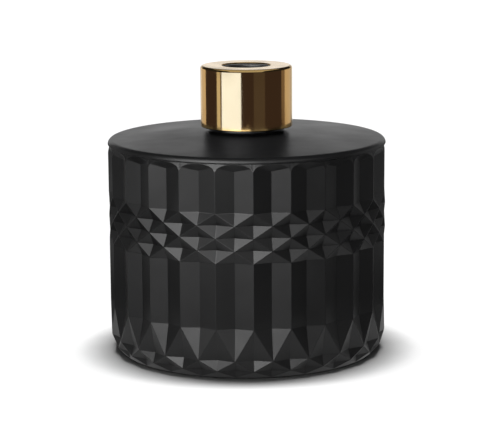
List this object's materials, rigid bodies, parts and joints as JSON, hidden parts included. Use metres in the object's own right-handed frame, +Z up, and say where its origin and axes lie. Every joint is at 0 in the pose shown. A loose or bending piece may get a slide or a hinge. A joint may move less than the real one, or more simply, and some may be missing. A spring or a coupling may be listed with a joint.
{
  "type": "reed diffuser bottle",
  "caption": "Squat round diffuser bottle of dark pressed glass with a faceted wall, and a metal screw collar with an open hole for reeds.",
  "frame": {"origin": "centre of the base, on the surface that the bottle stands on", "axes": "+Z up along the bottle's axis, -Y towards the front"},
  "size_m": [0.088, 0.088, 0.0909],
  "materials": {
    "black_glass": "satin lacquer over pressed glass",
    "gold_metal": "polished gold plate",
    "black_plastic": "moulded",
    "white_foam": "closed-cell foam"
  },
  "bodies": {
    "bottle": {"bottle": "black_glass"},
    "seal": {"seal_washer": "white_foam"},
    "collar": {"collar_shell": "gold_metal", "collar_liner": "black_plastic"}
  },
  "joints": [
    {"name": "collar_rise", "type": "slide", "parent": "bottle", "child": "seal", "axis": [0, 0, 1], "range_m": [0, 0.0168]},
    {"name": "collar_turn", "type": "hinge", "parent": "seal", "child": "collar", "pos_m": [0, 0, 0.08], "axis": [0, 0, 1], "range_deg": [0, 1440]}
  ],
  "couplings": [
    {"joint": "collar_rise", "follows": "collar_turn", "m_per_rad": 0.00066845}
  ]
}
